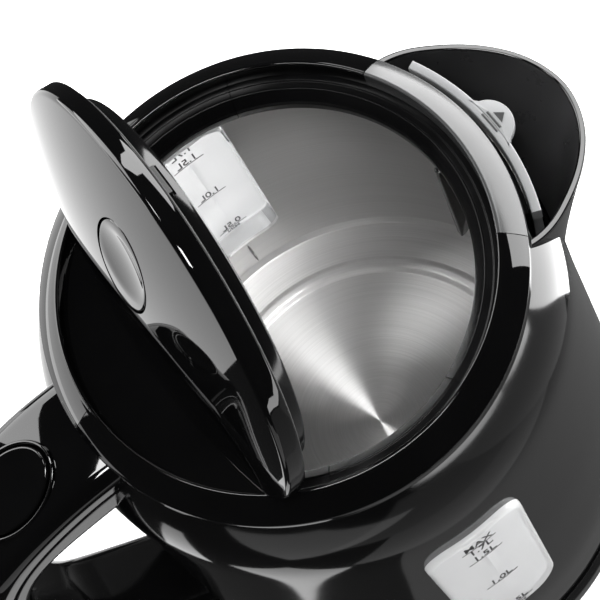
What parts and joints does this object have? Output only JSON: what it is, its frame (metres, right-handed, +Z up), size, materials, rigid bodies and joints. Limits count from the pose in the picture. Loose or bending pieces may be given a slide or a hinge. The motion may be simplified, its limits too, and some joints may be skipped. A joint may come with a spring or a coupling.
{
  "type": "cordless electric water kettle",
  "caption": "Cordless water kettle on a power base: gloss black body, steel pot, level windows, spout with lift-out filter, loop handle with rocker switch, sprung hinged lid with push button.",
  "frame": {"origin": "centre of the power base's underside, on the table, on the axis of the jug", "axes": "+Z up along the jug's axis, +X towards the spout, -X towards the handle"},
  "size_m": [0.2245, 0.168, 0.2991],
  "materials": {
    "gloss_black": "high gloss moulded plastic",
    "matte_black": "fine satin moulding",
    "steel": "circular brushed stainless steel",
    "clear_plastic": "frosted clear plastic",
    "smoke_plastic": "silver grey plastic",
    "rubber": "matt silicone rubber",
    "brass": "bare contact metal",
    "aluminium": "rolled plate"
  },
  "bodies": {
    "power_base": {"base_bottom_plate": "matte_black", "base_connector": "matte_black", "base_contact_pin": "brass", "base_contact_ring": "brass", "base_feet": "rubber", "base_housing": "gloss_black", "base_screws": "steel", "cord_gland": "matte_black"},
    "jug": {"bimetal_disc": "brass", "bottom_cover": "matte_black", "bottom_screws": "steel", "handle_cover": "gloss_black", "handle_grip": "matte_black", "heat_spreader": "aluminium", "heating_element": "steel", "hinge_pin": "steel", "hinge_spring": "steel", "inner_pot": "steel", "jug_connector": "matte_black", "jug_contacts": "brass", "level_window_left": "clear_plastic", "level_window_right": "clear_plastic", "lid_seat_ring": "matte_black", "outer_shell": "gloss_black", "pot_clamp_ring": "matte_black", "pot_gasket": "rubber", "rear_deck": "gloss_black", "rim_collar": "gloss_black", "spout": "gloss_black", "spout_bridge": "smoke_plastic", "spout_throat": "matte_black", "steam_switch": "matte_black", "switch_bezel": "matte_black", "switch_lever": "matte_black", "thermostat_control": "matte_black", "window_seals": "rubber"},
    "lid": {"lid_cover": "gloss_black", "lid_inner_plate": "matte_black", "lid_seal": "rubber", "lid_screws": "steel", "lid_button_springs": "steel"},
    "lid_button": {"lid_button": "gloss_black"},
    "lid_latch": {"lid_latch": "matte_black"},
    "switch": {"switch_button": "gloss_black"},
    "filter": {"filter_frame": "smoke_plastic", "filter_mesh": "steel"}
  },
  "joints": [
    {"name": "jug_lift", "type": "slide", "parent": "power_base", "child": "jug", "axis": [0, 0, 1], "range_m": [0, 0.06]},
    {"name": "lid_hinge", "type": "hinge", "parent": "jug", "child": "lid", "pos_m": [-0.032, 0, 0.2116], "axis": [0, 1, 0], "range_deg": [0, 76], "stiffness_Nm_per_rad": 0.0135, "springref_deg": -51.57},
    {"name": "lid_button_press", "type": "slide", "parent": "lid", "child": "lid_button", "axis": [0.9703, 0, -0.2419], "range_m": [0, 0.003], "stiffness_N_per_m": 400, "springref_m": -0.0015, "deforming": ["lid_button_springs"]},
    {"name": "lid_latch_slide", "type": "slide", "parent": "lid", "child": "lid_latch", "axis": [-0.2419, 0, -0.9703], "range_m": [0, 0.003]},
    {"name": "switch_rock", "type": "hinge", "parent": "jug", "child": "switch", "pos_m": [-0.0892, 0, 0.19952], "axis": [0, 1, 0], "range_deg": [-7, 0]},
    {"name": "filter_lift", "type": "slide", "parent": "jug", "child": "filter", "axis": [0, 0, 1], "range_m": [0, 0.05]}
  ],
  "couplings": [
    {"joint": "lid_latch_slide", "follows": "lid_button_press", "ratio": 1}
  ]
}
